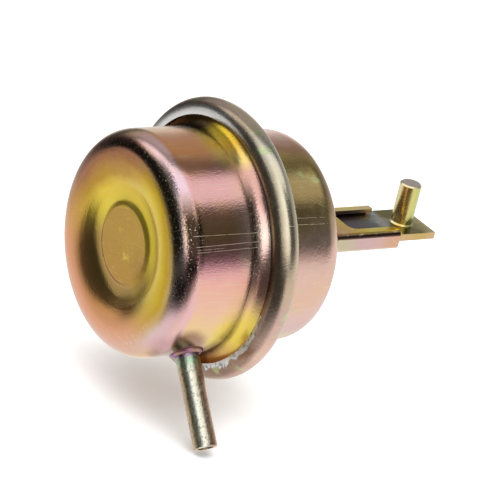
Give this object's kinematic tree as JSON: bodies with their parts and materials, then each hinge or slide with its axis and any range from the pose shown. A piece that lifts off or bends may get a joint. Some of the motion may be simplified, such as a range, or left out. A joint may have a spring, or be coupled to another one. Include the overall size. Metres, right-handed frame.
{
  "type": "vacuum fuel shut-off valve",
  "caption": "Crimped two-shell vacuum canister with a side nipple and a guided flat bar whose round hook pin is pulled in when vacuum is applied.",
  "frame": {"origin": "middle of the flat mounting face at the back of the rear shell, on the axis that the bar slides along", "axes": "+X along the valve from the vacuum end to the hook, square to the mounting face; +Z the way the hook pin stands"},
  "size_m": [0.0747, 0.0575, 0.0604],
  "materials": {
    "yellow_zinc": "iridescent yellow zinc plating, gold with pink and green tints, glossy",
    "braze": "plated over, dull",
    "plain_steel": "bare, satin",
    "spring_steel": "drawn wire",
    "black_rubber": "matte",
    "natural_nylon": "moulded"
  },
  "bodies": {
    "housing": {"front_shell": "yellow_zinc", "rear_shell": "yellow_zinc", "vacuum_nipple": "yellow_zinc", "nipple_braze": "braze", "diaphragm": "black_rubber", "return_spring": "spring_steel", "guide_tube": "yellow_zinc", "bar_seal": "black_rubber", "guide_block": "natural_nylon", "block_retainer": "plain_steel", "stop_bumper": "black_rubber", "weld_nut_upper": "plain_steel", "weld_nut_lower": "plain_steel"},
    "plunger": {"piston_cup": "plain_steel", "backing_plate": "plain_steel", "clamp_washer": "plain_steel", "centre_stud": "plain_steel", "cross_pin": "plain_steel", "slider_bar": "yellow_zinc", "hook_pin": "yellow_zinc"}
  },
  "joints": [
    {"name": "plunger_slide", "type": "slide", "parent": "housing", "child": "plunger", "axis": [1, 0, 0], "range_m": [-0.013, 0], "stiffness_N_per_m": 1550, "springref_m": 0.012, "deforming": ["return_spring", "diaphragm"]}
  ]
}
